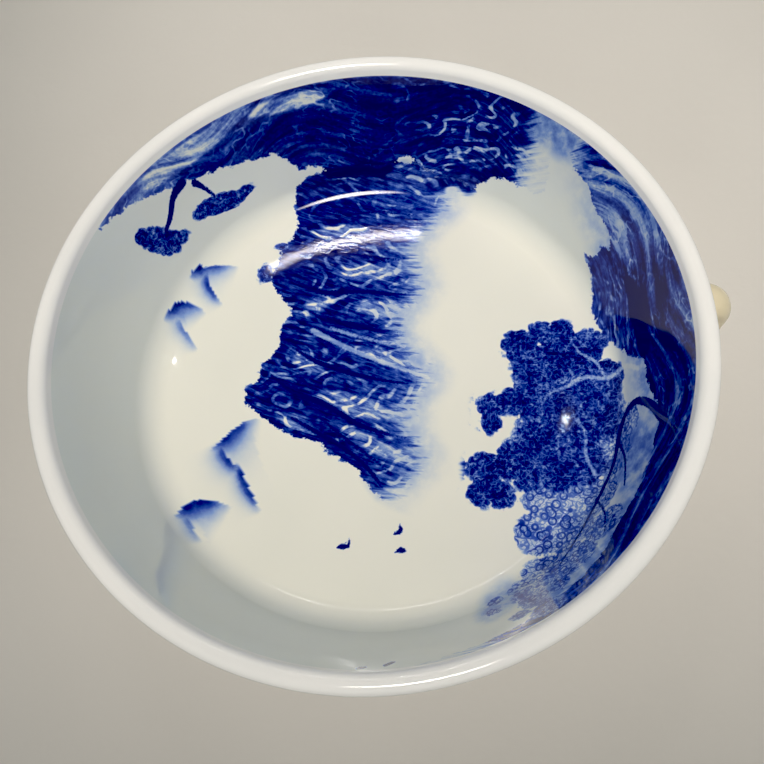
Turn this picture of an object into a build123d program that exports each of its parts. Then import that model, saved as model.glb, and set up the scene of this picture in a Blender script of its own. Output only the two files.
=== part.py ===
from build123d import *
from math import atan2, cos, hypot, radians, tan
import os

# Blue and white porcelain teacup with a small ear handle. Sizes are in millimetres.
# +Z is up and runs along the cup's axis. The origin is the centre of the foot's
# resting plane. The handle points along +X. All sizes are taken over the glaze.

# Overall sizes
rim_diameter = 90.0
cup_height = 32.0
foot_diameter = 47.5

# Wall, lip and floor
lip_thickness = 2.4
lip_band = 1.7  # how far the second coat of glaze comes down from the lip's top
wall_thickness = 3.0  # measured level, where the wall turns into the floor
wall_bulge = 0.45
floor_thickness = 4.3
floor_diameter = 72.6  # where the lines of wall and floor cross
floor_dish = 1.1
floor_middle_radius = 14.0  # where the lines of the floor's flat middle and its slope cross
inner_turn_radius = 4.5
outer_turn_radius = 10.0
glaze_thickness = 0.3

# Foot
foot_height = 5.2
foot_width = 3.4
foot_taper = 0.6
foot_edge_radius = 0.9
foot_root_radius = 1.4
bare_edge = 1.0  # height of the unglazed edge that the cup stands on
underside_rise = 3.9  # from the foot's top to the turn of the wall

# Handle: an oval rod bent into an ear and luted to the wall at both ends
handle_reach = 6.2  # from the rim's edge to the ear's outermost point
handle_height = 14.0
handle_middle = 18.8  # height of the ear's middle above the table
handle_width = 5.0
handle_thickness = 3.8
handle_bend_radius = 3.8  # of the rod's centre line
handle_splay = 8.0  # degrees that the two arms open towards the wall
luting_spread = 1.0  # how far the slip spreads round the rod, at the wall
luting_length = 1.6  # how far the slip reaches along the rod
luting_edge = 0.1  # thickness of the slip where it runs out on the rod
root_depth = 5.0  # how far rod and slip are drawn into the wall before it trims them

# A shallow bend is rounded over this share of its shorter side
floor_bend_share = 0.8
wall_bend_share = 0.35
# A full round leaves the lip this share of its thickness as each edge's radius
lip_round_share = 0.49

# Worked out from the sizes above
rim_radius = rim_diameter / 2
foot_radius = foot_diameter / 2
lip_radius = lip_thickness * lip_round_share
floor_top = foot_height + floor_thickness
joint_height = foot_height + glaze_thickness
floor_edge = Vector(floor_diameter / 2, floor_top + floor_dish)
lip_inside = Vector(rim_radius - lip_thickness, cup_height)
wall_slope = (lip_inside.X - floor_edge.X) / (lip_inside.Y - floor_edge.Y)
turn_height = foot_height + underside_rise
turn_radius = floor_edge.X + wall_thickness + wall_slope * (turn_height - floor_edge.Y)
turn = Vector(turn_radius, turn_height)
# rounding a leaning lip takes this much off its radius, so its corner starts wider
wall_length = hypot(rim_radius - turn.X, cup_height - turn.Y)
outer_lean = atan2(rim_radius - turn.X, cup_height - turn.Y) - atan2(2 * wall_bulge, wall_length)
lip_loss = lip_radius * (tan(outer_lean) + 1 / cos(outer_lean) - 1)
lip_outside = Vector(rim_radius + lip_loss, cup_height)


# --- The turned section -----------------------------------------------------------


def shallow_bend(start, corner, end, share):
    """A corner and the radius that rounds it over this share of its shorter side."""
    side = min((corner - start).length, (end - corner).length)
    half_turn = radians((corner - start).get_angle(end - corner)) / 2
    return corner, share * side / tan(half_turn)


def bulged(low, high):
    """The bend half way up a wall line, pushed outwards by the wall's bulge."""
    up = (high - low).normalized()
    corner = (low + high) / 2 + Vector(up.Y, -up.X) * wall_bulge
    return shallow_bend(low, corner, high, wall_bend_share)


def inner_side():
    """Corners of the inside with their radii, from the floor up to the lip."""
    middle = Vector(floor_middle_radius, floor_top)
    return [
        shallow_bend(Vector(0, floor_top), middle, floor_edge, floor_bend_share),
        (floor_edge, inner_turn_radius),
        bulged(floor_edge, lip_inside),
        (lip_inside, lip_radius),
    ]


def outer_side():
    """Corners of the outside with their radii, from the lip down into the foot's recess."""
    foot_base = -glaze_thickness  # the bare foot inside the glaze line ends at zero
    foot_inner = foot_radius - foot_width
    return [
        (lip_outside, lip_radius),
        bulged(turn, lip_outside),
        (turn, outer_turn_radius),
        (Vector(foot_radius + foot_taper, foot_height), foot_root_radius),
        (Vector(foot_radius, foot_base), foot_edge_radius),
        (Vector(foot_inner, foot_base), foot_edge_radius),
        (Vector(foot_inner - foot_taper, foot_height), foot_root_radius),
    ]


def closed_section(right):
    """A section symmetric about the axis: X is radius, Y is height."""
    left = [(Vector(-p.X, p.Y), radius) for p, radius in reversed(right)]
    points = [point for point, radius in right + left]
    radii = [radius for point, radius in right + left]
    return make_face(FilletPolyline(*points, radius=radii, close=True))


def cup_section():
    """The cup's wall, floor and foot, over the glaze."""
    return closed_section(inner_side() + outer_side())


def brimful_section():
    """The cup with its well filled in level with the lip."""
    return closed_section(outer_side())


def biscuit(section):
    """The fired clay inside a glazed section."""
    return offset(section, -glaze_thickness)


def zone(section, low, high):
    """The right half of a section between two heights."""
    width = rim_diameter
    return section & Pos(width / 2, (low + high) / 2) * Rectangle(width, high - low)


def turned(half_section):
    """A half section revolved round the cup's axis."""
    return revolve(Plane.XZ * half_section, Axis.Z)


# --- The handle -------------------------------------------------------------------


def wall_point(height):
    """The point of the outer wall line at this height, as a place in the XZ plane."""
    share = (height - turn.Y) / (lip_outside.Y - turn.Y)
    return Vector(turn.X + share * (lip_outside.X - turn.X), 0, height)


def handle_corners():
    """Corners of the rod's centre line: upper root, two bends, lower root."""
    outer = rim_radius + handle_reach - handle_thickness / 2
    half_height = (handle_height - handle_thickness) / 2
    bends = [Vector(outer, 0, handle_middle + side * half_height) for side in (1, -1)]
    roots = []
    for bend, side in zip(bends, (1, -1)):
        run = outer - wall_point(bend.Z).X
        rise = side * run * tan(radians(handle_splay))
        roots.append(wall_point(bend.Z + rise))
    return [roots[0], *bends, roots[1]]


def rod_section(growth):
    """The rod's oval, grown by this much all round: width along Y, thickness across."""
    return Ellipse(handle_width / 2 + growth, handle_thickness / 2 + growth)


def across(origin, direction):
    """A plane across the rod, with its X axis along the cup's Y."""
    return Plane(origin=origin, x_dir=(0, 1, 0), z_dir=direction)


def rod(growth):
    """The whole bent rod, drawn into the wall at both ends, over a growth of its section."""
    upper, upper_bend, lower_bend, lower = handle_corners()
    start = upper + (upper - upper_bend).normalized() * root_depth
    end = lower + (lower - lower_bend).normalized() * root_depth
    radii = [handle_bend_radius] * 2
    path = FilletPolyline(start, upper_bend, lower_bend, end, radius=radii)
    return sweep(across(start, path % 0) * rod_section(growth), path=path)


def luting_cone(root, bend, growth):
    """The flare of slip round one end of the rod, filled in and drawn into the wall."""
    out = (bend - root).normalized()
    foot = across(root - out * root_depth, out) * rod_section(growth + luting_spread)
    base = across(root, out) * rod_section(growth + luting_spread)
    tip = across(root + out * luting_length, out) * rod_section(growth + luting_edge)
    return loft([foot.face(), base.face()], ruled=True) + loft([base.face(), tip.face()], ruled=True)


# --- The sub-parts ----------------------------------------------------------------


def luting_cones(growth):
    """Both flares of slip, by the name of the joint that they make."""
    upper, upper_bend, lower_bend, lower = handle_corners()
    return {
        "upper_luting_joint": luting_cone(upper, upper_bend, growth),
        "lower_luting_joint": luting_cone(lower, lower_bend, growth),
    }


def turned_parts():
    """The clay body and the foot ring under it."""
    clay = biscuit(cup_section())
    return {
        "cup_body": turned(zone(clay, joint_height, cup_height)),
        "foot_ring": turned(zone(clay, 0, joint_height)),
    }


def handle_parts():
    """The ear, the slip that lutes it to the wall at both ends, and its coat of glaze."""
    inside_the_wall = turned(zone(biscuit(brimful_section()), 0, cup_height))
    clay_rod = rod(-glaze_thickness)
    clay_cones = luting_cones(-glaze_thickness)
    coat = rod(0)
    for cone in luting_cones(0).values():
        coat += cone
    coat -= clay_rod
    for cone in clay_cones.values():
        coat -= cone
    parts = {"handle": clay_rod - inside_the_wall}
    for name, cone in clay_cones.items():
        parts[name] = cone - clay_rod - inside_the_wall
    parts["handle_glaze"] = coat - inside_the_wall
    return parts


def glaze_parts():
    """The coats of glaze on the turned surfaces: inside, lip, outside and foot recess."""
    skin = cup_section() - biscuit(cup_section())
    lip_line = cup_height - lip_band
    *middle, outside = zone(skin, bare_edge, lip_line).faces().sort_by(Axis.X)
    recess, inside = ShapeList(middle).sort_by(Axis.Y)
    coats = {
        "lip_glaze": turned(zone(skin, lip_line, cup_height)),
        "outside_glaze": turned(outside),
    }
    for name in coats:
        for covered in (rod(0), *luting_cones(0).values()):
            coats[name] -= covered
    return coats | {"inside_glaze": turned(inside), "recess_glaze": turned(recess)}


os.makedirs("parts", exist_ok=True)
for name, solid in (turned_parts() | handle_parts() | glaze_parts()).items():
    export_step(solid, f"parts/{name}.step")
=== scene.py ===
import math

import bpy
import numpy as np
from mathutils import Matrix, Vector


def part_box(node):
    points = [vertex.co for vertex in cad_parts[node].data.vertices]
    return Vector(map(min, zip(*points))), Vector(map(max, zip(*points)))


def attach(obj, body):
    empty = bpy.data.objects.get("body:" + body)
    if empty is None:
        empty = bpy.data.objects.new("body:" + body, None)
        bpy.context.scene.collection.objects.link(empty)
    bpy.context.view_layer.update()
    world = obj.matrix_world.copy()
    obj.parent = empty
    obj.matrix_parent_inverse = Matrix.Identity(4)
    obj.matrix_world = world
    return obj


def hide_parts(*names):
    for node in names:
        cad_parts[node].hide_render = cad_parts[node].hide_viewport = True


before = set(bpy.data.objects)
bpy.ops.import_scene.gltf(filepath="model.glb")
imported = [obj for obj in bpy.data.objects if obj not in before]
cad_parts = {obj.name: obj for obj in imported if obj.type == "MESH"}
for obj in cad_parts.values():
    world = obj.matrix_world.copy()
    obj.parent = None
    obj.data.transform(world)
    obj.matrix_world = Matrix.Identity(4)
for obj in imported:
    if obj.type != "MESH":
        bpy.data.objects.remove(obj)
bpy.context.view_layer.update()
for name in ("Cube", "Light", "Camera"):
    if name in bpy.data.objects:
        bpy.data.objects.remove(bpy.data.objects[name])

# A blue and white teacup. Lengths are in millimetres, and MM turns them into metres.
MM = 0.001

# --- Sizes of the cup's section, as the CAD model has them ------------------------

lip_thickness = 2.4
lip_round_share = 0.49
wall_thickness = 3.0
wall_bulge = 0.45
floor_diameter = 72.6
floor_dish = 1.1
floor_middle_radius = 14.0
inner_turn_radius = 4.5
outer_turn_radius = 10.0
foot_diameter = 47.5
foot_width = 3.4
foot_taper = 0.6
foot_edge_radius = 0.9
foot_root_radius = 1.4
underside_rise = 3.9
glaze = 0.3
floor_bend_share = 0.8
wall_bend_share = 0.35

# Sizes of the handle
handle_reach = 6.2
handle_height = 14.0
handle_middle = 18.8
handle_width = 5.0
handle_thickness = 3.8
handle_bend_radius = 3.8
handle_splay = 8.0
luting_spread = 1.0


def low_high(node):
    """The lowest and highest corners of a CAD node, in millimetres."""
    return [np.array(corner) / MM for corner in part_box(node)]


lip_line, cup_height = (corner[2] for corner in low_high("lip_glaze"))
bare_edge = low_high("outside_glaze")[0][2]
rim_radius = round(low_high("lip_glaze")[1][1])
joint_height = low_high("foot_ring")[1][2]
foot_height = joint_height - glaze
floor_top = low_high("inside_glaze")[0][2] + glaze
foot_radius = foot_diameter / 2
lip_radius = lip_thickness * lip_round_share


def unit(v):
    return v / np.linalg.norm(v)


def cross2(a, b):
    return a[0] * b[1] - a[1] * b[0]


def spun(v, angle):
    c, s = math.cos(angle), math.sin(angle)
    return np.array([c * v[0] - s * v[1], s * v[0] + c * v[1]])


floor_edge = np.array([floor_diameter / 2, floor_top + floor_dish])
lip_inside = np.array([rim_radius - lip_thickness, cup_height])
wall_slope = (lip_inside[0] - floor_edge[0]) / (lip_inside[1] - floor_edge[1])
turn_height = foot_height + underside_rise
turn_radius = floor_edge[0] + wall_thickness + wall_slope * (turn_height - floor_edge[1])
turn = np.array([turn_radius, turn_height])
wall_run, wall_rise = rim_radius - turn[0], cup_height - turn[1]
bulge_angle = math.atan2(2 * wall_bulge, math.hypot(wall_run, wall_rise))
outer_lean = math.atan2(wall_run, wall_rise) - bulge_angle
lip_loss = lip_radius * (math.tan(outer_lean) + 1 / math.cos(outer_lean) - 1)
lip_outside = np.array([rim_radius + lip_loss, cup_height])


# --- The turned section: points and outward normals -------------------------------


def shallow_bend(start, corner, end, share):
    """A corner and the radius that rounds it over this share of its shorter side."""
    start, corner, end = (np.array(p, float) for p in (start, corner, end))
    side = min(np.linalg.norm(corner - start), np.linalg.norm(end - corner))
    turning = math.acos(np.clip(unit(corner - start) @ unit(end - corner), -1, 1))
    return corner, share * side / math.tan(turning / 2)


def bulged(low, high):
    """The bend half way along the wall line from low to high."""
    up = unit(high - low)
    corner = (low + high) / 2 + np.array([up[1], -up[0]]) * wall_bulge
    return shallow_bend(low, corner, high, wall_bend_share)


def rounded_path(corners, step, turn_step=0.09):
    """Points along a line with rounded corners, and the normals on its left."""
    points, normals = [], []
    last = np.array(corners[0][0], float)
    for i in range(1, len(corners)):
        corner, radius = np.array(corners[i][0], float), corners[i][1]
        way = unit(corner - np.array(corners[i - 1][0], float))
        left = np.array([-way[1], way[0]])
        turning, arc_start = 0, corner
        if i < len(corners) - 1:
            onward = unit(np.array(corners[i + 1][0], float) - corner)
            turning = math.atan2(cross2(way, onward), way @ onward)
            arc_start = corner - way * radius * math.tan(abs(turning) / 2)
        count = max(1, round(np.linalg.norm(arc_start - last) / step))
        for k in range(count):
            points.append(last + (arc_start - last) * k / count)
            normals.append(left)
        last = arc_start
        if turning:
            centre = arc_start + left * math.copysign(radius, turning)
            steps = max(4, round(abs(turning) * radius / step), round(abs(turning) / turn_step))
            for k in range(steps):
                points.append(centre + spun(arc_start - centre, turning * k / steps))
                normals.append(spun(left, turning * k / steps))
            last = centre + spun(arc_start - centre, turning)
    points.append(last)
    normals.append(left)
    return np.array(points), np.array(normals)


def cut_at_height(path, height, rising):
    """The path with a point put in where it first passes a height, and that point's index."""
    points, normals = path
    above = points[:, 1] > height
    crossings = np.flatnonzero(above[1:] != above[:-1])
    i = next(c for c in crossings if above[c + 1] == rising)
    share = (height - points[i, 1]) / (points[i + 1, 1] - points[i, 1])
    point = points[i] + share * (points[i + 1] - points[i])
    normal = unit(normals[i] + share * (normals[i + 1] - normals[i]))
    points = np.insert(points, i + 1, point, axis=0)
    normals = np.insert(normals, i + 1, normal, axis=0)
    return (points, normals), i + 1


def cup_paths(step):
    """The section of each turned surface over the glaze, by the name of its CAD node."""
    foot_inner = foot_radius - foot_width
    floor_middle = (floor_middle_radius, floor_top)
    corners = [
        ((0, floor_top), 0),
        shallow_bend((0, floor_top), floor_middle, floor_edge, floor_bend_share),
        (floor_edge, inner_turn_radius),
        bulged(floor_edge, lip_inside),
        (lip_inside, lip_radius),
        (lip_outside, lip_radius),
        bulged(turn, lip_outside),
        (turn, outer_turn_radius),
        ((foot_radius + foot_taper, foot_height), foot_root_radius),
        ((foot_radius, -glaze), foot_edge_radius),
        ((foot_inner, -glaze), foot_edge_radius),
        ((foot_inner - foot_taper, foot_height), foot_root_radius),
        ((0, foot_height), 0),
    ]
    path = rounded_path(corners, step)
    path, inner_lip = cut_at_height(path, lip_line, rising=True)
    path, outer_lip = cut_at_height(path, lip_line, rising=False)
    (points, normals), outer_foot = cut_at_height(path, bare_edge, rising=False)
    under = (points[outer_foot + 1 :], normals[outer_foot + 1 :])
    under, inner_foot = cut_at_height(under, bare_edge, rising=True)
    return {
        "inside_glaze": (points[: inner_lip + 1], normals[: inner_lip + 1]),
        "lip_glaze": (points[inner_lip : outer_lip + 1], normals[inner_lip : outer_lip + 1]),
        "outside_glaze": (points[outer_lip : outer_foot + 1], normals[outer_lip : outer_foot + 1]),
        "recess_glaze": (under[0][inner_foot:], under[1][inner_foot:]),
        "foot_ring": foot_ring_path(points, normals, outer_foot, under, inner_foot),
    }


def foot_ring_path(points, normals, outer_foot, under, inner_foot):
    """The clay of the foot: bare round the standing edge, and sunk under the glaze above it."""
    p = np.concatenate([points[outer_foot : outer_foot + 1], under[0][: inner_foot + 1]])
    n = np.concatenate([normals[outer_foot : outer_foot + 1], under[1][: inner_foot + 1]])
    return p - n * glaze, n


# --- Turned meshes ----------------------------------------------------------------

SECTION_STEP = 0.39  # millimetres between points along the section
SEGMENTS = 560
BACK_TURN = 0.12  # radians that a hidden side may turn, and
BACK_STEP = 4.0  # millimetres that it may run, between its points


def add_object(name, mesh):
    piece = bpy.data.objects.new(name, mesh)
    bpy.context.scene.collection.objects.link(piece)
    return piece


def face_grid(rows, columns, wrap_rows):
    """Quads between rows of points that each go all the way round."""
    r = np.arange(rows if wrap_rows else rows - 1)[:, None]
    c = np.arange(columns)[None, :]
    r2, c2 = (r + 1) % rows, (c + 1) % columns
    corners = [r * columns + c, r * columns + c2, r2 * columns + c2, r2 * columns + c]
    return np.stack([k + 0 * c for k in corners], axis=-1).reshape(-1, 4)


def turned_piece(name, section, front_count, normals, poles):
    """A section turned round the axis, as a closed mesh, with exact normals on its front.

    section holds (radius, height) points. Its first front_count points are the side that
    shows, with the given normals. With poles, the section starts and ends on the axis."""
    angles = np.arange(SEGMENTS) * 2 * np.pi / SEGMENTS
    ring = np.stack([np.cos(angles), np.sin(angles)], axis=-1)
    turned_rows = section[1:-1] if poles else section
    rows = len(turned_rows)
    points = np.empty((rows, SEGMENTS, 3))
    points[..., :2] = turned_rows[:, None, :1] * ring
    points[..., 2] = turned_rows[:, None, 1]
    points = points.reshape(-1, 3)
    faces = face_grid(rows, SEGMENTS, wrap_rows=not poles)[:, ::-1].tolist()
    if poles:
        top, bottom = len(points), len(points) + 1
        points = np.vstack([points, [0, 0, section[0][1]], [0, 0, section[-1][1]]])
        last = (rows - 1) * SEGMENTS
        for c in range(SEGMENTS):
            after = (c + 1) % SEGMENTS
            faces.append([top, c, after])
            faces.append([bottom, last + after, last + c])
    if cross2(section[1] - section[0], normals[0]) < 0:
        faces = [face[::-1] for face in faces]
    mesh = bpy.data.meshes.new(name)
    mesh.from_pydata(points * MM, [], faces)
    mesh.update()
    mesh.polygons.foreach_set("use_smooth", np.ones(len(mesh.polygons), bool))
    set_front_normals(mesh, section, front_count, normals, poles)
    return add_object(name, mesh)


def corners_of_faces(mesh):
    """The vertex at each face corner, and each face's first corner and number of corners."""
    vertices = np.empty(len(mesh.loops), np.int32)
    mesh.loops.foreach_get("vertex_index", vertices)
    starts = np.empty(len(mesh.polygons), np.int32)
    totals = np.empty(len(mesh.polygons), np.int32)
    mesh.polygons.foreach_get("loop_start", starts)
    mesh.polygons.foreach_get("loop_total", totals)
    return vertices, starts, totals


def set_front_normals(mesh, section, front_count, normals, poles):
    """Exact normals for the faces of the front, and flat ones for the hidden side."""
    count = len(mesh.vertices)
    row = np.arange(count) // SEGMENTS + (1 if poles else 0)
    if poles:
        row[-2], row[-1] = 0, len(section) - 1
    angle = np.arange(count) % SEGMENTS * 2 * np.pi / SEGMENTS
    on_front = row < front_count
    n = normals[np.minimum(row, front_count - 1)]
    exact = np.stack([n[:, 0] * np.cos(angle), n[:, 0] * np.sin(angle), n[:, 1]], axis=-1)
    loops, starts, totals = corners_of_faces(mesh)
    flat = np.empty(len(mesh.polygons) * 3, np.float32)
    mesh.polygons.foreach_get("normal", flat)
    face_of_loop = np.repeat(np.arange(len(mesh.polygons)), totals)
    face_is_front = np.logical_and.reduceat(on_front[loops], starts)
    chosen = np.where(
        face_is_front[face_of_loop][:, None], exact[loops], flat.reshape(-1, 3)[face_of_loop]
    )
    mesh.normals_split_custom_set(chosen)


def sparse(points, normals):
    """The indices of enough points for a side that doesn't show, last one first."""
    kept = [0]
    for i in range(1, len(points)):
        turned_by = math.acos(np.clip(normals[i] @ normals[kept[-1]], -1, 1))
        far = np.linalg.norm(points[i] - points[kept[-1]]) > BACK_STEP
        if far or turned_by > BACK_TURN or i == len(points) - 1:
            kept.append(i)
    return kept[::-1]


def coat(name, path):
    """A coat of glaze over the clay: the path is what shows, and its back lies on the clay."""
    points, normals = path
    poles = min(points[0][0], points[-1][0]) < 1e-9
    if points[-1][0] < 1e-9:  # a coat that ends on the axis is laid out from the axis
        points, normals = points[::-1], normals[::-1]
    back = (points - normals * glaze)[sparse(points, normals)]
    return turned_piece(name, np.vstack([points, back]), len(points), normals, poles)


paths = cup_paths(SECTION_STEP)
inside = coat("painted_inside", paths["inside_glaze"])
lip = coat("white_lip", paths["lip_glaze"])
outside = coat("plain_outside", paths["outside_glaze"])
recess = coat("glazed_recess", paths["recess_glaze"])
foot_points, foot_normals = paths["foot_ring"]
foot_ring = turned_piece("bare_foot", foot_points, len(foot_points), foot_normals, False)


# --- The handle's coat: an oval rod with a flare of glaze at both roots ------------

ROD_SIDES = 72
FLARE_LENGTH = 2.6  # how far the flare reaches out from the wall
WALL_DEPTH = 0.6  # how far the rod's ends go into the wall
ROD_STEP = 0.3  # between points along the rod, and
ROD_TURN = 0.05  # radians between them on its bends
SINK_STEP = 0.1  # the rod's ends are sunk into the wall in steps of this much,
SINK_STEPS = 100  # and at most this many


def wall_point(height):
    """The point of the outer wall line at this height, as (x, z)."""
    return turn + (height - turn[1]) / (lip_outside[1] - turn[1]) * (lip_outside - turn)


def handle_line():
    """Points along the rod's centre line as (x, z), with the normals on its left."""
    outer = rim_radius + handle_reach - handle_thickness / 2
    half_height = (handle_height - handle_thickness) / 2
    corners = []
    for side in (1, -1):
        height = handle_middle + side * half_height
        run = outer - wall_point(height)[0]
        root = wall_point(height + side * run * math.tan(math.radians(handle_splay)))
        corners.append([(root, 0), (np.array([outer, height]), handle_bend_radius)])
    line = [corners[0][0], corners[0][1], corners[1][1], corners[1][0]]
    return rounded_path(line, ROD_STEP, ROD_TURN)


def off_wall(places):
    """How far out from the wall's outside each place is, measured level."""
    wall = paths["outside_glaze"][0]
    order = np.argsort(wall[:, 1])
    wall_radius = np.interp(places[..., 2], wall[order, 1], wall[order, 0])
    return np.hypot(places[..., 0], places[..., 1]) - wall_radius


def rod_surface(points, lefts, growth):
    """The oval round each point of the line, grown by this much."""
    angles = np.arange(ROD_SIDES) * 2 * np.pi / ROD_SIDES
    thick = np.cos(angles) * (handle_thickness / 2 + growth)
    rod = np.empty((len(points), ROD_SIDES, 3))
    rod[..., 0] = points[:, None, 0] + lefts[:, None, 0] * thick
    rod[..., 1] = np.sin(angles) * (handle_width / 2 + growth)
    rod[..., 2] = points[:, None, 1] + lefts[:, None, 1] * thick
    return rod


def handle_coat():
    """The glazed ear: the rod with its flares, and its ends sunk in the wall and closed."""
    points, lefts = handle_line()
    along = np.concatenate([[0], np.cumsum(np.linalg.norm(np.diff(points, axis=0), axis=1))])
    from_root = np.minimum(along, along[-1] - along)[:, None]
    gap = np.minimum(off_wall(rod_surface(points, lefts, 0)), from_root)
    rod = rod_surface(points, lefts, luting_spread * np.clip(1 - gap / FLARE_LENGTH, 0, 1) ** 2)
    ends = []
    for ring, inward in ((rod[0], points[0] - points[1]), (rod[-1], points[-1] - points[-2])):
        way = np.array([inward[0], 0, inward[1]]) / np.linalg.norm(inward)
        ring = ring.copy()
        for _ in range(SINK_STEPS):
            ring += way * SINK_STEP * (off_wall(ring) > -WALL_DEPTH)[:, None]
        ends.append(ring)
    rod = np.concatenate([ends[0][None], rod, ends[1][None]])
    rows = len(rod)
    middles = [ends[0].mean(axis=0), ends[1].mean(axis=0)]
    faces = face_grid(rows, ROD_SIDES, wrap_rows=False).tolist()
    last, first_middle = (rows - 1) * ROD_SIDES, rows * ROD_SIDES
    for k in range(ROD_SIDES):
        after = (k + 1) % ROD_SIDES
        faces.append([first_middle, after, k])
        faces.append([first_middle + 1, last + k, last + after])
    mesh = bpy.data.meshes.new("cream_handle")
    mesh.from_pydata(np.vstack([rod.reshape(-1, 3), middles]) * MM, [], faces)
    mesh.polygons.foreach_set("use_smooth", np.ones(len(mesh.polygons), bool))
    mesh.update()
    return add_object("cream_handle", mesh)


handle = handle_coat()


# --- Materials --------------------------------------------------------------------


GLAZE_RELIEF = 0.000008  # metres between a glaze's low and high places


class Graph:
    """A material's nodes, made by short calls. A value may be a number, a colour or a socket."""

    def __init__(self, name):
        self.material = bpy.data.materials.new(name)
        self.material.use_nodes = True
        self.nodes, self.links = self.material.node_tree.nodes, self.material.node_tree.links
        self.nodes.clear()

    def add(self, kind, inputs=(), **settings):
        node = self.nodes.new("ShaderNode" + kind)
        for key, value in settings.items():
            setattr(node, key, value)
        for key, value in dict(inputs).items():
            socket = node.inputs[key]
            if isinstance(value, bpy.types.NodeSocket):
                self.links.new(value, socket)
            elif value is not None:
                socket.default_value = value
        return node

    def math(self, operation, a, b=None, c=None, clamp=False):
        inputs = {0: a, 1: b, 2: c}
        return self.add("Math", inputs, operation=operation, use_clamp=clamp).outputs[0]

    def vector(self, operation, a, b=None):
        return self.add("VectorMath", {0: a, 1: b}, operation=operation).outputs[0]

    def stretched(self, place, x, y, z=1.0):
        return self.vector("MULTIPLY", place, (x, y, z))

    def noise(self, place, scale, detail=2.0, roughness=0.5, distortion=0.0):
        inputs = {"Vector": place, "Scale": scale, "Detail": detail,
                  "Roughness": roughness, "Distortion": distortion}
        return self.add("TexNoise", inputs).outputs["Fac"]

    def cells(self, place, scale):
        inputs = {"Vector": place, "Scale": scale, "Randomness": 1.0}
        return self.add("TexVoronoi", inputs, feature="F1").outputs["Distance"]

    def between(self, value, low, high, to_low=0.0, to_high=1.0):
        """A smooth step from to_low to to_high as value goes from low to high."""
        inputs = {"Value": value, "From Min": low, "From Max": high,
                  "To Min": to_low, "To Max": to_high}
        return self.add("MapRange", inputs, interpolation_type="SMOOTHSTEP").outputs["Result"]

    def mix(self, share, a, b, blend_type="MIX"):
        node = self.add("Mix", data_type="RGBA", blend_type=blend_type)
        for socket, value in zip((node.inputs[0], node.inputs[6], node.inputs[7]), (share, a, b)):
            if isinstance(value, bpy.types.NodeSocket):
                self.links.new(value, socket)
            else:
                socket.default_value = value
        return node.outputs[2]

    def ramp(self, value, stops):
        node = self.add("ValToRGB", {"Fac": value})
        node.color_ramp.interpolation = "LINEAR"
        elements = node.color_ramp.elements
        elements[0].position, elements[0].color = stops[0]
        elements[1].position, elements[1].color = stops[-1]
        for position, colour in stops[1:-1]:
            elements.new(position).color = colour
        return node.outputs["Color"]

    def attribute(self, name):
        return self.add("Attribute", attribute_name=name).outputs["Vector"]

    def object_place(self):
        return self.add("TexCoord").outputs["Object"]

    def finish(self, **sockets):
        inputs = {key.replace("_", " "): value for key, value in sockets.items()}
        shader = self.add("BsdfPrincipled", inputs).outputs[0]
        self.add("OutputMaterial", {"Surface": shader})
        return self.material

    def bump(self, height, distance):
        inputs = {"Height": height, "Distance": distance, "Strength": 1.0}
        return self.add("Bump", inputs).outputs[0]


def rgb(r, g, b):
    """A colour as it looks on a screen, from 0 to 255, as Blender's linear colour."""
    parts = (c / 255 for c in (r, g, b))
    return (*(c / 12.92 if c <= 0.04045 else ((c + 0.055) / 1.055) ** 2.4 for c in parts), 1.0)


def glazed_clay(name, light, dark, speck, roughness=(0.02, 0.06)):
    """Fired clear glaze over white clay: slow drifts of tone, fine ripples, a few specks."""
    g = Graph(name)
    place = g.object_place()
    drift = g.between(g.noise(place, 38, 3), 0.3, 0.7)
    fine = g.noise(place, 900, 2)
    colour = g.mix(drift, light, dark)
    specks = g.between(g.cells(place, 420), 0.06, 0.03)
    chosen = g.between(g.noise(place, 160, 1), 0.60, 0.66)
    colour = g.mix(g.math("MULTIPLY", specks, chosen), colour, speck)
    ripple = g.noise(place, 70, 2, 0.4)
    pits = g.between(g.cells(place, 520), 0.05, 0.02)
    height = g.math("MULTIPLY_ADD", g.math("MULTIPLY", pits, chosen), -0.5, ripple)
    rough = g.between(fine, 0.3, 0.7, *roughness)
    return g.finish(Base_Color=colour, Roughness=rough, IOR=1.5, Specular_IOR_Level=0.5,
                    Normal=g.bump(height, GLAZE_RELIEF))


white_glaze = glazed_clay("white_glaze", rgb(250, 248, 245), rgb(243, 242, 240), rgb(150, 130, 110))
cream_glaze = glazed_clay("cream_glaze", rgb(238, 226, 196), rgb(226, 212, 180), rgb(150, 120, 80))


def bare_clay(name, light, dark):
    """Fired clay with no glaze: matt and grainy, with small pores and warm patches."""
    g = Graph(name)
    place = g.object_place()
    grain = g.noise(place, 2600, 4, 0.7)
    patches = g.between(g.noise(place, 130, 3), 0.35, 0.65)
    pores = g.between(g.cells(place, 1500), 0.16, 0.05)
    colour = g.mix(patches, light, dark)
    colour = g.mix(g.math("MULTIPLY", pores, 0.6), colour, rgb(120, 100, 84))
    colour = g.mix(g.between(grain, 0.35, 0.75, 0.0, 0.35), colour, rgb(250, 246, 238))
    height = g.math("SUBTRACT", grain, g.math("MULTIPLY", pores, 1.5))
    rough = g.between(grain, 0.2, 0.8, 0.72, 0.95)
    return g.finish(Base_Color=colour, Roughness=rough, IOR=1.5, Normal=g.bump(height, 0.00009))


biscuit = bare_clay("biscuit", rgb(232, 222, 206), rgb(214, 198, 176))


def dress(piece, material, node):
    """Gives a new piece its material and slot, hangs it on the root body, and hides the CAD node that
    it stands for.
    """
    piece.data.materials.append(material)
    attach(piece, "root")
    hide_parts(node)


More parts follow.
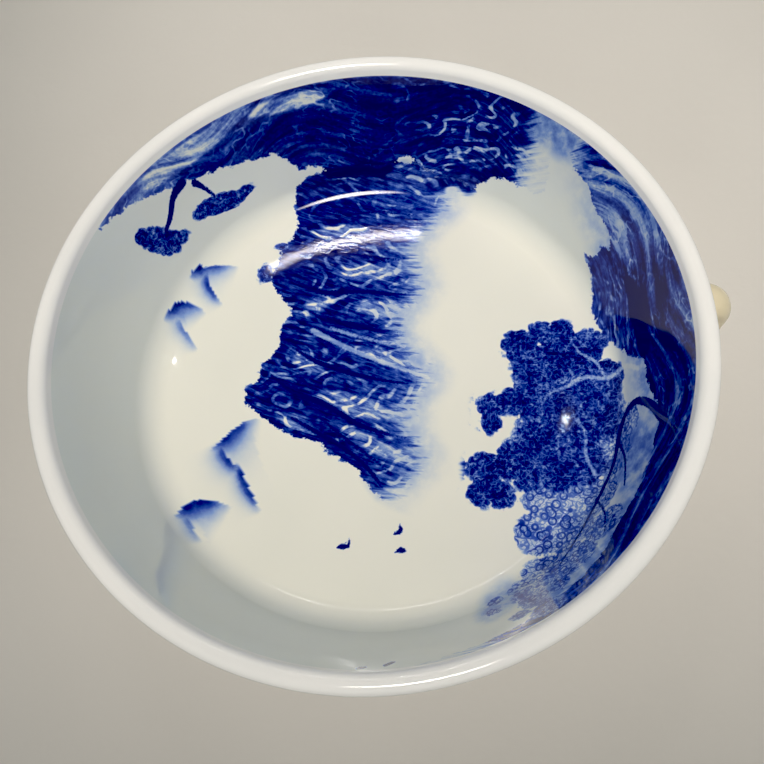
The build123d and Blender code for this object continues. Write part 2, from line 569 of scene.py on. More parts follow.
# --- The painting: fields over the inside, in the millimetres of its own map --------
#
# The map lays the inside out flat: a point's distance from the middle is the length of
# glaze from the floor's centre to it. The landscape is drawn here as smooth fields. The
# material turns them into brushwork.

MAP_TURN = math.radians(10.1)  # from the cup's +X to the map's +x
PAINT_END = 56.9  # where the painting stops under the lip


def step(value, low, high):
    """A smooth step from 0 to 1 as value goes from low to high."""
    t = np.clip((value - low) / (high - low), 0, 1)
    return t * t * (3 - 2 * t)


def curve(points, rounds=3):
    """Corner cutting: a smooth line through rows of numbers, with its ends kept."""
    points = np.array(points, float)
    for _ in range(rounds):
        a, b = points[:-1], points[1:]
        cut = np.stack([a * 0.75 + b * 0.25, a * 0.25 + b * 0.75], axis=1)
        points = np.vstack([points[:1], cut.reshape(-1, points.shape[1]), points[-1:]])
    return points


def arc_round(radius, start, end, count=40):
    """Points on a circle round the map's middle, from one angle in degrees to another."""
    a = np.radians(np.linspace(start, end, count))
    return np.stack([radius * np.cos(a), radius * np.sin(a)], axis=-1)


def to_segments(xy, points):
    """For each place: the distance to the line, and how far along it the nearest point is."""
    best, where = np.full(len(xy), 1e9), np.zeros(len(xy))
    for i, (a, b) in enumerate(zip(points[:-1, :2], points[1:, :2])):
        way = b - a
        share = np.clip(((xy - a) @ way) / max(way @ way, 1e-12), 0, 1)
        gap = np.linalg.norm(xy - a - share[:, None] * way, axis=1)
        nearer = gap < best
        best = np.where(nearer, gap, best)
        where = np.where(nearer, i + share, where)
    return best, where


def shape_depth(xy, points):
    """How far inside a closed outline each place is; outside it is below zero."""
    closed = np.vstack([points, points[:1]])
    gap = to_segments(xy, closed)[0]
    inside_it = np.zeros(len(xy), bool)
    for a, b in zip(closed[:-1], closed[1:]):
        spans = (a[1] > xy[:, 1]) != (b[1] > xy[:, 1])
        rise = b[1] - a[1] if b[1] != a[1] else 1e-9
        crossing = a[0] + (xy[:, 1] - a[1]) * (b[0] - a[0]) / rise
        inside_it ^= spans & (xy[:, 0] < crossing)
    return np.where(inside_it, gap, -gap)


def blob_depth(xy, blobs):
    """How far inside the nearest of some ovals: (x, y, radius, flatness, turn in degrees)."""
    depth = np.full(len(xy), -1e9)
    for x, y, radius, flat, turned_by in blobs:
        a = math.radians(turned_by)
        along = (xy[:, 0] - x) * math.cos(a) + (xy[:, 1] - y) * math.sin(a)
        across = (xy[:, 1] - y) * math.cos(a) - (xy[:, 0] - x) * math.sin(a)
        depth = np.maximum(depth, (radius - np.hypot(along, across / flat)) * (flat + 1) / 2)
    return depth


def stroke_depth(xy, strokes):
    """How far inside the nearest brush stroke: rows of (x, y, half width)."""
    depth = np.full(len(xy), -1e9)
    for stroke in strokes:
        line = curve(stroke)
        gap, where = to_segments(xy, line)
        half_width = np.interp(where, np.arange(len(line)), line[:, 2])
        depth = np.maximum(depth, half_width - gap)
    return depth


def below_ridge(xy, line):
    """How far each place is on the right of a line, going along it, and its share of the way."""
    gap, where = to_segments(xy, line)
    i = np.minimum(where.astype(int), len(line) - 2)
    way, out = line[i + 1] - line[i], xy - line[i]
    side = np.sign(way[:, 1] * out[:, 0] - way[:, 0] * out[:, 1])
    return gap * side, where / (len(line) - 1)


def folds(xy, centres, wide, high):
    """Distance from the nearest centre, in ovals: its even steps draw nested folds of rock."""
    best = np.full(len(xy), 1e9)
    for i, (x, y) in enumerate(centres):
        gap = np.hypot((xy[:, 0] - x) / wide, (xy[:, 1] - y) / high) + 0.13 * i
        best = np.minimum(best, gap)
    return best


far_range = np.vstack([
    curve([(-52, 20), (-48, 25.5), (-44, 29), (-40, 31.5), (-36, 34), (-31, 37), (-27, 38.5),
           (-23.5, 40), (-20, 41.5), (-16, 38.2), (-13, 39.8), (-9, 37.5), (-5, 39), (-1, 37.6),
           (2, 41.5), (4, 42), (6, 38.5), (8, 34.5), (11, 37), (14, 34.2), (17, 36.5), (20, 37),
           (24, 35.2), (27.5, 32.8), (30, 35), (31, 38), (33, 42), (35, 45)], 2),
    arc_round(PAINT_END, 53, 158),
])
mountain = curve([(-13, 38), (-16, 36), (-16, 32), (-15, 29.5), (-15.5, 26), (-18, 24), (-17.5, 21),
                  (-19.5, 18.5), (-17, 15), (-14, 12), (-16.5, 9.5), (-16, 6), (-18.5, 3), (-19, 0),
                  (-21.5, -2), (-19.5, -5), (-17, -6.5), (-13, -9), (-9, -9.5), (-6, -12),
                  (-2.5, -13.5), (-0.5, -16), (2, -19), (13, -22), (15, 0), (17, 36), (8, 40),
                  (-3, 41)], 2)
right_swath = np.vstack([
    curve([(36, 42), (35, 37.5), (38.5, 33), (38, 29), (41, 24), (39, 20), (43, 14), (42, 9),
           (43.5, 3), (44, -3), (47, -8), (46, -14), (44, -18.5), (42, -24), (39, -28), (38.5, -32),
           (35, -37.5), (30, -42), (26, -46.5), (19, -50.5), (10, -55.5)], 2),
    arc_round(PAINT_END, -79, 47),
])
rock = curve([(34, 22), (36.5, 21), (38.5, 23), (41, 20), (45, 16), (46, 8), (44, 2), (40, 3.5),
              (37, 6.5), (34.5, 9), (33, 13.5), (34.2, 17)], 2)
canopies = [(-40, 22, 5.0, 0.50, 4), (-36.5, 23.6, 2.6, 0.6, 20), (-43.5, 21.6, 2.0, 0.8, 0),
            (-29.5, 31, 5.6, 0.34, 27), (-32.8, 28.8, 2.2, 0.6, 30), (-25.4, 33.8, 2.2, 0.5, 35),
            (-20, 19, 1.3, 1.5, 0), (-17.4, 24.2, 1.7, 0.4, 0)]
dark_trees = [(22, 7, 3.2), (25.5, 9.2, 2.4), (28.5, 9.6, 2.2), (24, 3, 3.2), (29, 5, 3.6),
              (33, 7.5, 2.8), (18, -3, 2.6), (17.6, -6, 2.0), (22, -2, 3.0), (26.5, -3, 3.6),
              (31, -2, 3.2), (17, -13, 3.0), (16.4, -17, 2.4), (21, -12, 3.2), (19.2, -17, 2.4),
              (25.5, -8.5, 3.8), (30, -7.5, 3.4), (35, 1.5, 3.5), (34.5, -5, 3.0), (23, -14.5, 2.2),
              (31.5, -12.5, 3.2), (27.5, -14, 2.6)]
mid_trees = [(28, 0.5, 7.6), (27, -7.5, 6.0), (29.5, 5, 5.0), (33, -4, 5.6), (23, -10.5, 4.0),
             (33.5, -10, 4.6), (24, 4, 3.6)]
light_trees = [(26, -17, 4.0), (30, -17, 3.5), (24.5, -22.5, 3.6), (29.5, -23, 4.5), (34, -18, 4.2),
               (26, -29.5, 4.2), (22.5, -31.5, 2.4), (31.5, -30.5, 4.8), (28, -37, 4.6),
               (24.5, -34.5, 3.2), (36.5, -12, 4.2), (36.5, -25, 4.0), (38.5, -7, 3.6),
               (30, -43, 3.2), (19, -33.5, 1.6), (19.3, -37, 1.8), (25.2, -42, 2.0)]
trunks = [
    [(-39.2, 24, 0.4), (-38.8, 27, 0.5), (-39.4, 30, 0.6), (-38, 33, 0.9)],
    [(-31, 32, 0.3), (-33.5, 33.2, 0.4), (-35.5, 33.6, 0.7)],
    [(48, -11, 1.0), (45, -6.5, 0.8), (41.5, -4, 0.65), (38.6, -4.6, 0.5), (36.8, -8, 0.5),
     (36.2, -13, 0.42), (33, -19, 0.4), (30.5, -25, 0.3), (28.5, -31, 0.15)],
    [(36.5, -9, 0.3), (39, -13, 0.3), (39.5, -19, 0.2)],
    [(33, -18, 0.25), (36, -22, 0.25), (37, -28, 0.15)],
]
marks = [
    [(-4.3, -25.8, 0.1), (-3.6, -25.4, 0.45), (-2.6, -25.5, 0.3), (-2.7, -24.2, 0.1)],
    [(3.9, -23.3, 0.15), (4.9, -22.9, 0.45), (4.7, -21.9, 0.1)],
    [(4.2, -25.9, 0.15), (5.2, -25.5, 0.5), (5.7, -25.8, 0.15)],
    [(2.2, -55.6, 0.2), (3.2, -54.8, 0.5)],
    [(6.4, -54.0, 0.4), (7.2, -52.6, 0.4)],
]
pale_branches = [
    [(42, 1, 0.4), (38.5, 3, 0.4), (35.5, 1.2, 0.36), (32, 2.2, 0.32), (29, 0, 0.3),
     (26.5, -0.6, 0.2), (25, -3.5, 0.1)],
    [(35, 1.8, 0.25), (33.8, 4.6, 0.25), (31.4, 5.6, 0.2), (30, 8, 0.1)],
    [(33, -14, 0.3), (31.4, -10.6, 0.28), (32, -7, 0.2), (30, -4.6, 0.1)],
    [(-11, 9, 0.5), (-7, 7, 0.45), (-1, 4.4, 0.4), (8, 1.4, 0.3)],
    [(-8, 9.5, 0.3), (-3, 8.0, 0.3), (4, 6.6, 0.2)],
]
# pale hills: the ridge, how far its wash runs down, and its strength
hills = [
    ([(-32.4, 17.0), (-31.4, 18.9), (-29.6, 20.0), (-26.6, 20.6), (-24.4, 20.2)], 1.5, 0.95),
    ([(-30.4, 19.4), (-29.6, 16.6), (-28.2, 14.4), (-26.6, 12.6)], 0.9, 0.7),
    ([(-35.2, 9.0), (-34.4, 11.6), (-33.0, 12.8), (-31.0, 12.4), (-29.0, 11.0)], 2.3, 0.85),
    ([(-34.2, 10.6), (-32.6, 8.2), (-31.0, 6.4), (-29.8, 4.4)], 0.8, 0.5),
    ([(-25.0, -12.4), (-23.2, -10.6), (-21.6, -8.6), (-19.6, -7.0), (-17.8, -6.8)], 2.0, 0.75),
    ([(-24.2, -10.4), (-22.8, -13.0), (-20.8, -14.8), (-19.4, -15.4)], 1.1, 0.7),
    ([(-21.0, -13.4), (-19.6, -16.2), (-18.0, -18.8), (-16.4, -21.4)], 0.8, 0.85),
    ([(-28.4, -23.4), (-27.4, -21.0), (-25.6, -19.9), (-22.6, -20.2), (-20.6, -21.0)], 2.4, 0.85),
    ([(-27.6, -21.6), (-26.2, -24.2), (-24.6, -26.4)], 0.9, 0.45),
]
# the mountain's ridges, dark, and the slopes between them, pale
ridges = [
    [(-15, 25, 0.2), (-11, 22.5, 0.5), (-6, 23.5, 0.4), (1, 22, 0.3), (6, 22.5, 0.1)],
    [(-15, 18, 0.3), (-10, 15.5, 0.6), (-4, 16.5, 0.5), (3, 15.6, 0.4), (7, 16, 0.1)],
    [(-12, 12.5, 0.2), (-8.5, 10.6, 0.5), (-4.5, 10.4, 0.6), (1, 8.9, 0.4), (6, 8.6, 0.1)],
    [(-14, 6, 0.2), (-10, 3.5, 0.5), (-4, 1.6, 0.5), (3, 0.4, 0.3), (7, 0.2, 0.1)],
    [(-17, 1, 0.3), (-13, -2, 0.6), (-8, -3.4, 0.6), (-2, -7.2, 0.5), (5, -8.6, 0.2)],
    [(-13, -6, 0.3), (-8, -8.6, 0.5), (-3, -11.4, 0.5), (0.5, -14.6, 0.4), (3, -18.5, 0.1)],
    [(-9, -5.4, 0.2), (-4.5, -9, 0.4), (0, -12, 0.3), (3.4, -14.6, 0.1)],
    [(-12, 32, 0.2), (-7, 30.6, 0.4), (-1, 31.4, 0.3), (5, 30.6, 0.1)],
]
slopes = [(-3, 19.8, 4.6, 0.34, -2), (0.5, 13.2, 5.0, 0.30, -4), (-10.5, 13.8, 2.6, 0.5, 40),
          (-11.5, 3.4, 3.4, 0.4, -35), (-3.2, -3.6, 6.2, 0.26, -14), (-12.5, -6.6, 2.6, 0.45, -20),
          (1.5, -10.5, 4.6, 0.24, -24), (-8, 27.4, 4, 0.3, 4), (-2.5, -8.4, 3.6, 0.2, -30),
          (3, 4.4, 5, 0.16, -12)]
fold_centres = [(-5, 22), (-9, 31), (-14, 18), (-3, 12), (-13, 5), (-6, 0), (-15, -3), (-2, -9),
                (-10, -6), (2, 34)]
curl_patches = [(8, 40, 4.5, 0.6, 20), (16, 42, 6, 0.5, -10), (24, 40, 6, 0.5, -30),
                (12, 47, 6, 0.4, 0), (22, 47, 5, 0.5, -20), (-8, 46, 5, 0.35, 5),
                (-18, 44, 5, 0.3, 15)]
curl_centres = [(7.5, 36.5), (13.5, 36.5), (10, 42), (17, 41), (23, 38), (27, 36), (20, 46),
                (6, 47), (14, 50), (28, 43), (25, 49), (-2, 52), (-9, 46)]
# pools of pale wash: the strength, the ovals, and how deep inside them it is at its full
washes = [
    (0.42, [(42, -15, 6, 1.4, 20)], 3),
    (0.40, [(35, 42, 5.5, 0.7, -45), (30, 46, 6, 0.8, -30)], 3),
    (0.30, [(20, -35, 3.2, 1.6, 0), (33, -37, 6, 1.0, 0)], 2),
]


def painting(xy):
    """The fields at places on the map. Depths are in millimetres, and weights from 0 to 1."""
    x, y = xy[:, 0], xy[:, 1]
    rho, azimuth = np.hypot(x, y), np.degrees(np.arctan2(y, x))
    d_range, d_mountain = shape_depth(xy, far_range), shape_depth(xy, mountain)
    d_swath, d_rock = shape_depth(xy, right_swath), shape_depth(xy, rock)
    d_canopy = blob_depth(xy, canopies)
    d_dark = blob_depth(xy, [(a, b, r, 0.92, 0) for a, b, r in dark_trees])
    d_mid = blob_depth(xy, [(a, b, r, 0.95, 0) for a, b, r in mid_trees])
    d_light = blob_depth(xy, [(a, b, r, 0.92, 0) for a, b, r in light_trees])

    # which brushwork fills each place, nearest layer last
    rocky = step(d_mountain, -1, 0)
    curls = step(d_range, -1, 0) * step(x, -4, 8)
    leafy, netted = np.zeros(len(x)), np.zeros(len(x))
    streaky = np.maximum(step(d_range, -1, 0) * (1 - 0.75 * curls), step(d_swath, -1, 0))
    rocky = rocky * (1 - step(d_range, 0, 1.5))
    rocky = np.maximum.reduce([rocky, curls, step(d_rock, -1, 0.5)])
    for depth, target in ((d_light, "net"), (d_mid, "leaf"), (d_dark, "leaf"), (d_canopy, "leaf")):
        cover = step(depth, -0.6, 0.6)
        streaky, rocky, netted, leafy = (w * (1 - cover) for w in (streaky, rocky, netted, leafy))
        if target == "net":
            netted = netted + cover
        else:
            leafy = leafy + cover
    depths = [d_range, d_mountain, d_swath, d_rock, d_canopy, d_dark, d_mid, d_light]
    edge = np.maximum.reduce(depths)

    # the mountain dissolves to the right, the range at its far end, and the swath at both ends
    dry_end = 6.2 + 1.6 * np.sin(y * 0.42 + 0.6) + 1.2 * np.sin(y * 0.17 + 2.2)
    dry_end += 0.12 * np.clip(y - 20, 0, None)
    feather = step(x, dry_end + 3.5, dry_end - 6.5) * step(y + 0.3 * x, -21.5, -14.5)
    only_mountain = step(d_mountain, -4, -3) * (1 - step(np.maximum(d_range, d_dark), -1.5, 0.5))
    fade = 1 - only_mountain * (1 - feather)
    fade *= 1 - step(azimuth, 62, 53) * step(azimuth, 40, 50) * (rho > 40) * 0.9
    fade *= 1 - step(azimuth, -58, -74) * (rho > 44) * 0.8

    tone = np.full(len(x), 0.86)
    far_left_top = step(azimuth, 112, 130) * step(rho, 47, 54) * (y > 20)
    tone += 0.10 * step(d_range, 0, 3) - 0.18 * far_left_top
    tone = np.where(rocky > 0.5, 0.84, tone)
    slope = step(blob_depth(xy, slopes), -1.2, 0.8) * (d_mountain > 0)
    tone = np.where(d_mountain > 0, tone + 0.10 - 0.20 * step(x, -10, 6) - 0.34 * slope, tone)
    curled = step(blob_depth(xy, curl_patches), -1.5, 1.5) * (d_range > 0)
    tone -= 0.10 * curled
    slope = np.maximum(slope, curled)
    tone += 0.12 * step(d_swath, 1, 6) * (x > 20)
    # painted reflection: the ink is paler on the right wall between about 20 and 45 degrees, where a
    # reflection greys it
    tone -= 0.30 * step(azimuth, 16, 26) * step(azimuth, 48, 38) * (x > 30) * step(d_swath, -1, 1)
    band = step(blob_depth(xy, [(-37, 39, 13, 0.14, 45), (-19, 50.5, 10, 0.13, 20)]), -1.0, 0.8)
    tone -= 0.46 * band
    tone = np.where(leafy > 0.4, 0.66 + 0.30 * step(np.maximum(d_dark, d_canopy), -1.0, 0.4), tone)
    tone = np.where(netted > 0.4, 0.36, tone)
    grain = np.where(d_range > -0.5, 0.55 + 0.45 * np.maximum(band, curled), 1.0)

    hill_edge, hill_ink = np.full(len(x), -4.0), np.zeros(len(x))
    for ridge, fall, strength in hills:
        depth, share = below_ridge(xy, curve(ridge))
        strong = strength * np.exp(-np.clip(depth, 0, None) / fall)
        strong = strong * step(share, 0, 0.35) * step(share, 1, 0.45)
        hill_ink = np.where(depth > -0.5, np.maximum(hill_ink, strong), hill_ink)
        hill_edge = np.maximum(hill_edge, depth)

    wash = 0.34 * step(d_swath, -7, -0.5) * step(azimuth, 55, 20) * step(azimuth, -62, -35)
    for strength, ovals, full_depth in washes:
        wash = np.maximum(wash, strength * step(blob_depth(xy, ovals), -2, full_depth))
    beside = only_mountain * step(d_mountain, -1, 0) * step(x, dry_end - 9, dry_end - 3)
    wash = np.maximum(wash, 0.24 * beside * step(x, dry_end + 5, dry_end - 2) * step(y, -24, -12))

    rock_folds, far_curls = folds(xy, fold_centres, 1.35, 0.8), folds(xy, curl_centres, 1.7, 0.75)
    contour = np.where(d_mountain > d_range, rock_folds, far_curls)
    contour = np.where(d_rock > -1, np.hypot(x - 30, (y - 12) * 0.7), contour)
    on_mountain = d_mountain > np.maximum(d_range, d_swath)
    flow_along = np.where(on_mountain, x * 0.92 - y * 0.30, np.radians(azimuth) * 48)
    waves = 2.5 * np.sin(np.radians(azimuth) * 9)
    flow_across = np.where(on_mountain, y * 0.92 + x * 0.30, rho + waves)
    lines = [stroke_depth(xy, strokes) for strokes in (trunks + marks, pale_branches, ridges)]
    return {
        "place": (x, y, 0 * x),
        "paint_edge": (edge, fade, tone),
        "paint_brush": (rocky, leafy, streaky),
        "paint_soft": (netted, wash, contour),
        "paint_hills": (hill_edge, hill_ink, rho),
        "paint_lines": lines,
        "paint_grain": (grain, 0 * x, 0 * x),
        "paint_flow": (flow_along, flow_across, slope),
    }


def paint_inside(piece, path):
    """Stores the painting's fields at every point of the inside, and lays its map out as UVs."""
    points = path[0]
    rho = np.concatenate([[0], np.cumsum(np.linalg.norm(np.diff(points, axis=0), axis=1))])
    mesh = piece.data
    count = len(mesh.vertices)
    front = np.arange(count) < (len(points) - 1) * SEGMENTS
    row = np.where(front, np.arange(count) // SEGMENTS + 1, 0)
    angle = np.arange(count) % SEGMENTS * 2 * np.pi / SEGMENTS + MAP_TURN
    xy = np.stack([rho[row] * np.cos(angle), rho[row] * np.sin(angle)], axis=-1)
    fields = painting(xy)
    fields["paint_edge"][0][~front & (np.arange(count) < count - 2)] = -9
    for name, parts in fields.items():
        layer = mesh.attributes.new(name, "FLOAT_VECTOR", "POINT")
        layer.data.foreach_set("vector", np.stack(parts, axis=-1).astype(np.float32).ravel())
    lay_out_map(mesh, xy, front)


def lay_out_map(mesh, xy, front):
    """UVs: the map's disc for the side that shows, and a small disc in a corner for the other."""
    count = len(mesh.vertices)
    places = np.empty(count * 3, np.float32)
    mesh.vertices.foreach_get("co", places)
    shown = 0.5 + xy / np.abs(xy).max() * 0.49
    hidden = np.array([0.93, 0.07]) + places.reshape(-1, 3)[:, :2] / MM / rim_radius * 0.06
    front = front.copy()
    front[count - 2] = True  # the pole in the middle of the floor
    loops, starts, totals = corners_of_faces(mesh)
    face_shows = np.repeat(np.logical_and.reduceat(front[loops], starts), totals)
    layer = mesh.uv_layers.new(name="OFBake")
    uvs = np.where(face_shows[:, None], shown[loops], hidden[loops])
    layer.data.foreach_set("uv", uvs.astype(np.float32).ravel())


def painted_glaze():
    """Cobalt under a clear glaze: the fields, roughened into brushwork."""
    g = Graph("cobalt_under_glaze")

    def parts(name):
        node = g.add("SeparateXYZ", {0: g.attribute(name)})
        return node.outputs[0], node.outputs[1], node.outputs[2]

    def noise_from(value, low, high):
        """Noise recentred about zero, from low to high."""
        return g.math("MULTIPLY_ADD", value, high - low, low)

    place = g.attribute("place")
    flow = g.attribute("paint_flow")
    edge, fade, tone = parts("paint_edge")
    rocky, leafy, streaky = parts("paint_brush")
    netted, wash, contour = parts("paint_soft")
    hill_edge, hill_ink, rho = parts("paint_hills")
    trunk, pale_branch, ridge_depth = parts("paint_lines")
    grain = parts("paint_grain")[0]

    # wandering edges
    jag = g.noise(place, 0.55, 4, 0.62)
    fine_jag = g.noise(place, 2.6, 2, 0.5)
    leaf_cells = g.cells(place, 0.95)
    wander = g.math("ADD", noise_from(jag, -1.5, 1.5), noise_from(fine_jag, -0.35, 0.35))
    scallop = g.math("MULTIPLY", g.math("SUBTRACT", 0.45, leaf_cells), 1.3)
    leafiness = g.math("ADD", leafy, netted, clamp=True)
    shift = g.add("Mix", {0: leafiness, 2: wander, 3: scallop}, data_type="FLOAT").outputs[0]
    mask = g.between(g.math("ADD", edge, shift), -0.10, 0.16)

    # squiggles: where a noise crosses its middle
    def squiggles(where, scale, detail, wide):
        off_middle = g.math("ABSOLUTE", noise_from(g.noise(where, scale, detail, 0.5), -0.5, 0.5))
        return g.between(off_middle, wide, wide * 0.35)

    # rock: pale lines along the folds on the slopes, and brushed streaks between
    slope = parts("paint_flow")[2]
    warp = noise_from(g.noise(place, 0.20, 1, 0.5), -1.4, 1.4)
    turns = g.math("ADD", g.math("MULTIPLY", contour, 0.54), warp)
    line = g.math("PINGPONG", turns, 0.5)
    grouped = g.math("MAXIMUM", g.between(g.noise(place, 0.15, 2), 0.42, 0.55), slope)
    broken = g.between(g.noise(place, 0.55, 2), 0.38, 0.56, 0.1, 1.0)
    fold_lines = g.math("MULTIPLY", g.between(line, 0.24, 0.08), grouped)
    fold_lines = g.math("MULTIPLY", fold_lines, broken)
    dabs = g.noise(g.stretched(flow, 0.30, 1.5, 0.0), 1.0, 4, 0.62, 0.5)
    rock_ink = g.math("MULTIPLY_ADD", noise_from(dabs, -0.80, 0.70), grain, tone)
    rock_ink = g.math("ADD", rock_ink, noise_from(g.noise(place, 0.9, 3, 0.6), -0.28, 0.26))
    paler = g.math("MULTIPLY_ADD", slope, 0.20, 0.40)
    rock_ink = g.math("SUBTRACT", rock_ink, g.math("MULTIPLY", fold_lines, paler))
    ridge = g.between(g.math("ADD", ridge_depth, noise_from(fine_jag, -0.3, 0.3)), -0.35, 0.25)
    rock_ink = g.math("MAXIMUM", rock_ink, g.math("MULTIPLY", ridge, 0.95))

    # brush streaks along the flow
    streaks = g.noise(g.stretched(flow, 0.075, 0.48, 0.0), 1.0, 5, 0.60, 0.35)
    mottle = g.noise(place, 1.5, 3, 0.6)
    commas = squiggles(g.stretched(flow, 0.42, 0.7, 0.0), 0.9, 1, 0.06)
    commas = g.math("MULTIPLY", commas, g.between(g.noise(place, 0.22, 2), 0.42, 0.62))
    streak_ink = g.math("MULTIPLY_ADD", noise_from(streaks, -1.35, 1.30), grain, tone)
    streak_ink = g.math("ADD", streak_ink, noise_from(mottle, -0.30, 0.24))
    streak_ink = g.math("SUBTRACT", streak_ink, g.math("MULTIPLY", commas, 0.26))

    # leaves: dark ones mottled, pale ones drawn in short squiggles
    clumps = g.noise(place, 0.30, 2)
    leaf_ink = g.math("ADD", tone, noise_from(mottle, -0.62, 0.50))
    leaf_ink = g.math("ADD", leaf_ink, noise_from(clumps, -0.3, 0.3))
    leaf_ink = g.math("SUBTRACT", leaf_ink, g.math("MULTIPLY", squiggles(place, 1.3, 1, 0.06), 0.24))
    leaf_ink = g.math("SUBTRACT", leaf_ink, g.between(leaf_cells, 0.42, 0.75, 0.0, 0.16))
    small_curls = g.math("MULTIPLY", squiggles(place, 1.7, 0, 0.07), 0.7)
    curls = g.math("MAXIMUM", squiggles(place, 0.95, 1, 0.09), small_curls)
    scale_cells = g.cells(place, 0.72)
    rings = g.between(g.math("ABSOLUTE", g.math("SUBTRACT", scale_cells, 0.42)), 0.13, 0.05)
    curls = g.math("MAXIMUM", g.math("MULTIPLY", curls, 0.7), rings)
    under = g.math("ADD", g.math("MULTIPLY", tone, 0.56), noise_from(clumps, -0.34, 0.34))
    net_ink = g.math("MULTIPLY_ADD", curls, 0.44, under)

    ink = g.math("MULTIPLY", rocky, rock_ink)
    for weight, kind in ((streaky, streak_ink), (leafy, leaf_ink), (netted, net_ink)):
        ink = g.math("MULTIPLY_ADD", weight, kind, ink)

    # the brush runs dry to the right of the mountain
    bristles = g.noise(g.stretched(place, 0.13, 1.5), 1.0, 4, 0.6)
    part_dry = g.math("MULTIPLY", fade, g.math("SUBTRACT", 1.0, fade))
    dry = g.math("MULTIPLY_ADD", noise_from(bristles, -3.2, 3.2), part_dry, fade)
    ink = g.math("MULTIPLY", g.math("MULTIPLY", ink, mask), g.between(dry, 0.0, 0.95))
    uneven = g.noise(g.stretched(flow, 0.35, 0.35, 0.0), 1.0, 3)
    top = g.math("ADD", rho, noise_from(uneven, -1.3, 1.3))
    ink = g.math("MULTIPLY", ink, g.between(top, PAINT_END + 0.2, PAINT_END - 1.3, 0.12, 1.0))

    # washes, hills, trunks and marks
    cloud = g.noise(place, 0.35, 4, 0.6)
    soft = g.math("MULTIPLY", wash, g.between(cloud, 0.25, 0.7, 0.35, 1.25))
    ink = g.math("MAXIMUM", ink, soft)
    hill_mask = g.between(g.math("ADD", hill_edge, noise_from(fine_jag, -0.3, 0.3)), -0.1, 0.35)
    hill = g.math("MULTIPLY", hill_ink, hill_mask)
    hill = g.math("MULTIPLY", hill, g.between(cloud, 0.2, 0.7, 0.7, 1.15))
    ink = g.math("MAXIMUM", ink, hill)
    line_jag = noise_from(fine_jag, -0.25, 0.25)
    gone = g.between(g.math("ADD", pale_branch, line_jag), -0.18, 0.2, 0.0, 0.6)
    ink = g.math("MULTIPLY", ink, g.math("SUBTRACT", 1.0, gone))
    drawn = g.between(g.math("ADD", trunk, line_jag), -0.1, 0.12, 0.0, 0.93)
    ink = g.math("MAXIMUM", ink, drawn, clamp=True)

    # clear glaze over it, a little creamier on the floor than on the wall; the wall's darker, cooler
    # colour is painted shade
    drift = g.noise(place, 0.05, 2)
    painted_wall_shade = g.between(rho, 33, 40)
    # painted shade: the wall's glaze colour is darker and greener than the floor's
    clear = g.mix(painted_wall_shade, rgb(240, 239, 228), rgb(228, 233, 230))
    clear = g.mix(g.between(drift, 0.35, 0.65, 0.0, 0.3), clear, rgb(231, 232, 221))
    cobalt = g.ramp(ink, [
        (0.00, (1.0, 1.0, 1.0, 1)),
        (0.16, (0.64, 0.74, 0.96, 1)),
        (0.34, (0.27, 0.41, 0.88, 1)),
        (0.56, (0.050, 0.115, 0.60, 1)),
        (0.78, (0.008, 0.024, 0.32, 1)),
        (1.00, (0.0012, 0.003, 0.15, 1)),
    ])
    colour = g.mix(1.0, clear, cobalt, blend_type="MULTIPLY")
    ripple = g.noise(g.object_place(), 70, 2, 0.4)
    height = g.math("MULTIPLY_ADD", ink, 0.25, ripple)
    rough = g.between(g.noise(place, 1.5, 2), 0.3, 0.7, 0.02, 0.05)
    return g.finish(Base_Color=colour, Roughness=rough, IOR=1.5, Specular_IOR_Level=0.36,
                    Normal=g.bump(height, GLAZE_RELIEF))


paint_inside(inside, paths["inside_glaze"])
dress(inside, painted_glaze(), "inside_glaze")
dress(lip, white_glaze, "lip_glaze")
dress(outside, white_glaze, "outside_glaze")
dress(recess, white_glaze, "recess_glaze")
dress(foot_ring, biscuit, "foot_ring")
dress(handle, cream_glaze, "handle_glaze")
for node in ("cup_body", "handle", "upper_luting_joint", "lower_luting_joint"):
    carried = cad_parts[node]
    carried.material_slots[0].material = biscuit


# --- Floor, light and camera ------------------------------------------------------


def studio_floor():
    """A pale disc that the cup stands on."""
    half, sides = 0.9, 64
    mesh = bpy.data.meshes.new("floor")
    angles = [2 * math.pi * k / sides for k in range(sides)]
    edge = [(half * math.cos(a), half * math.sin(a), 0) for a in angles]
    mesh.from_pydata(edge, [], [list(range(sides))])
    g = Graph("pale_floor")
    place = g.object_place()
    drift = g.between(g.noise(place, 9, 3), 0.3, 0.7)
    colour = g.mix(drift, rgb(214, 210, 204), rgb(206, 202, 196))
    fine = g.bump(g.noise(place, 400, 3), 0.0001)
    material = g.finish(Base_Color=colour, Roughness=0.6, Normal=fine)
    mesh.materials.append(material)
    floor = add_object("floor", mesh)


def aimed(eye, target, up=(0, 0, 1)):
    """The rotation of a light or camera at eye that looks at target."""
    back = (Vector(eye) - Vector(target)).normalized()
    right = Vector(up).cross(back).normalized()
    return Matrix((right, back.cross(right), back)).transposed()


def lamp(name, azimuth, zenith, distance, size, power, colour, target=(0, 0, 0.01), spread=180):
    """An area light in a direction from the cup, in degrees, that faces it."""
    a, z = math.radians(azimuth), math.radians(zenith)
    way = Vector((math.sin(z) * math.cos(a), math.sin(z) * math.sin(a), math.cos(z)))
    data = bpy.data.lights.new(name, "AREA")
    data.shape = "RECTANGLE"
    data.size, data.size_y = size
    data.energy = power
    data.spread = math.radians(spread)
    data.color = colour[:3]
    light = bpy.data.objects.new(name, data)
    bpy.context.scene.collection.objects.link(light)
    eye = Vector(target) + way * distance
    light.matrix_world = Matrix.LocRotScale(eye, aimed(eye, target), None)


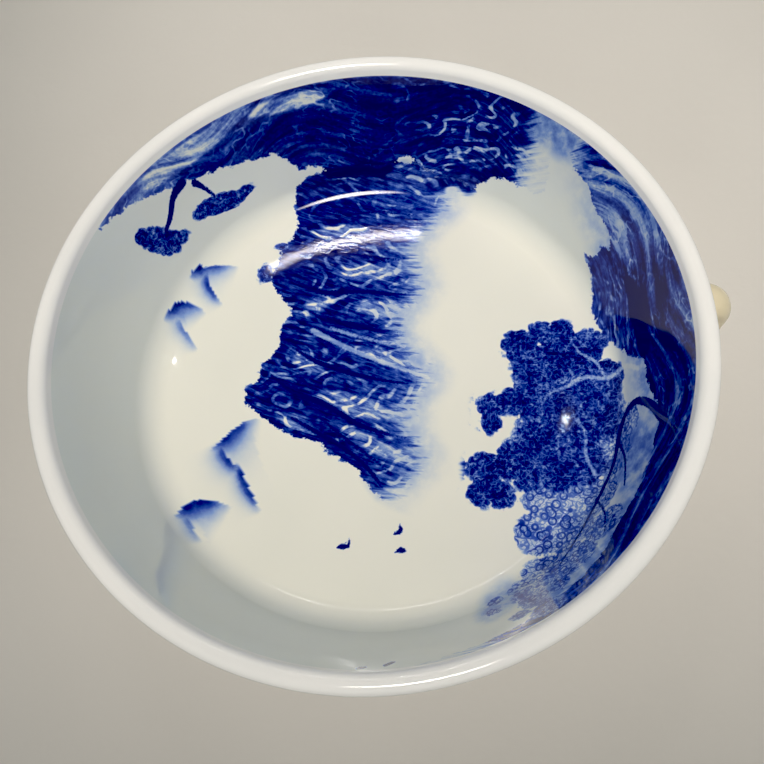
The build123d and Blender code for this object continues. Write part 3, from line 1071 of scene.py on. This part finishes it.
def ambient(colour, strength, overhead):
    """Soft light from all round, weaker from straight above."""
    world = bpy.data.worlds.new("soft_room")
    bpy.context.scene.world = world
    world.use_nodes = True
    nodes, links = world.node_tree.nodes, world.node_tree.links
    background = nodes["Background"]
    background.inputs["Color"].default_value = colour
    way = nodes.new("ShaderNodeTexCoord").outputs["Generated"]
    height = nodes.new("ShaderNodeSeparateXYZ")
    links.new(way, height.inputs[0])
    fall = nodes.new("ShaderNodeMapRange")
    fall.interpolation_type = "SMOOTHSTEP"
    limits = {"From Min": 0.62, "From Max": 0.86, "To Min": strength, "To Max": overhead}
    for key, value in limits.items():
        fall.inputs[key].default_value = value
    links.new(height.outputs["Z"], fall.inputs["Value"])
    links.new(fall.outputs["Result"], background.inputs["Strength"])


def place_camera():
    """The camera stands close above the cup's near side, a little tilted and rolled."""
    distance = 0.1006
    azimuth, tilt = math.radians(-85.3), math.radians(25.93)
    yaw, pitch, roll = math.radians(0.40), math.radians(-4.35), math.radians(-12.20)
    rim_centre = Vector((0, 0, (cup_height - 1.1) * MM))
    sideways = Vector((math.cos(azimuth), math.sin(azimuth), 0))
    out = sideways * math.sin(tilt) + Vector((0, 0, math.cos(tilt)))
    eye = rim_centre + out * distance
    right = Vector((-math.sin(azimuth), math.cos(azimuth), 0))
    up = out.cross(right)
    forward = (-out + right * math.tan(yaw) + up * math.tan(pitch)).normalized()
    level = forward.cross(up).normalized()
    above = level.cross(forward)
    rolled_right = level * math.cos(roll) + above * math.sin(roll)
    rolled_up = above * math.cos(roll) - level * math.sin(roll)
    data = bpy.data.cameras.new("camera")
    data.sensor_width, data.lens = 36.0, 36.05
    data.clip_start, data.clip_end = 0.001, 10.0
    camera = bpy.data.objects.new("camera", data)
    bpy.context.scene.collection.objects.link(camera)
    turned = Matrix((rolled_right, rolled_up, -forward)).transposed()
    camera.matrix_world = Matrix.LocRotScale(eye, turned, None)
    bpy.context.scene.camera = camera


BLACK_LEVEL = 0.017  # light this dim shows as black
studio_floor()
ambient(rgb(232, 240, 238), 0.47, 0.13)
lamp("key", -94, 14, 0.6, (0.24, 0.24), 0.130, rgb(255, 247, 238),
     target=(0.034, 0.056, 0.02), spread=19)
for side, share in ((-1, 0.6), (0, 1.0), (1, 0.8)):
    lamp("strip", 95.2 - 6.8 * side, 30.0, 0.412, (0.0245, 0.0034), 0.017 * share, rgb(255, 250, 246))
lamp("left_spark", 123.8, 28.6, 0.411, (0.002, 0.0014), 0.0014, rgb(255, 252, 248))
lamp("right_spark", 57.2, 20.1, 0.387, (0.0012, 0.0026), 0.0026, rgb(240, 248, 255))
place_camera()
view = bpy.context.scene.view_settings
view.view_transform = "Standard"
view.use_curve_mapping = True
view.curve_mapping.black_level = (BLACK_LEVEL,) * 3
view.curve_mapping.update()
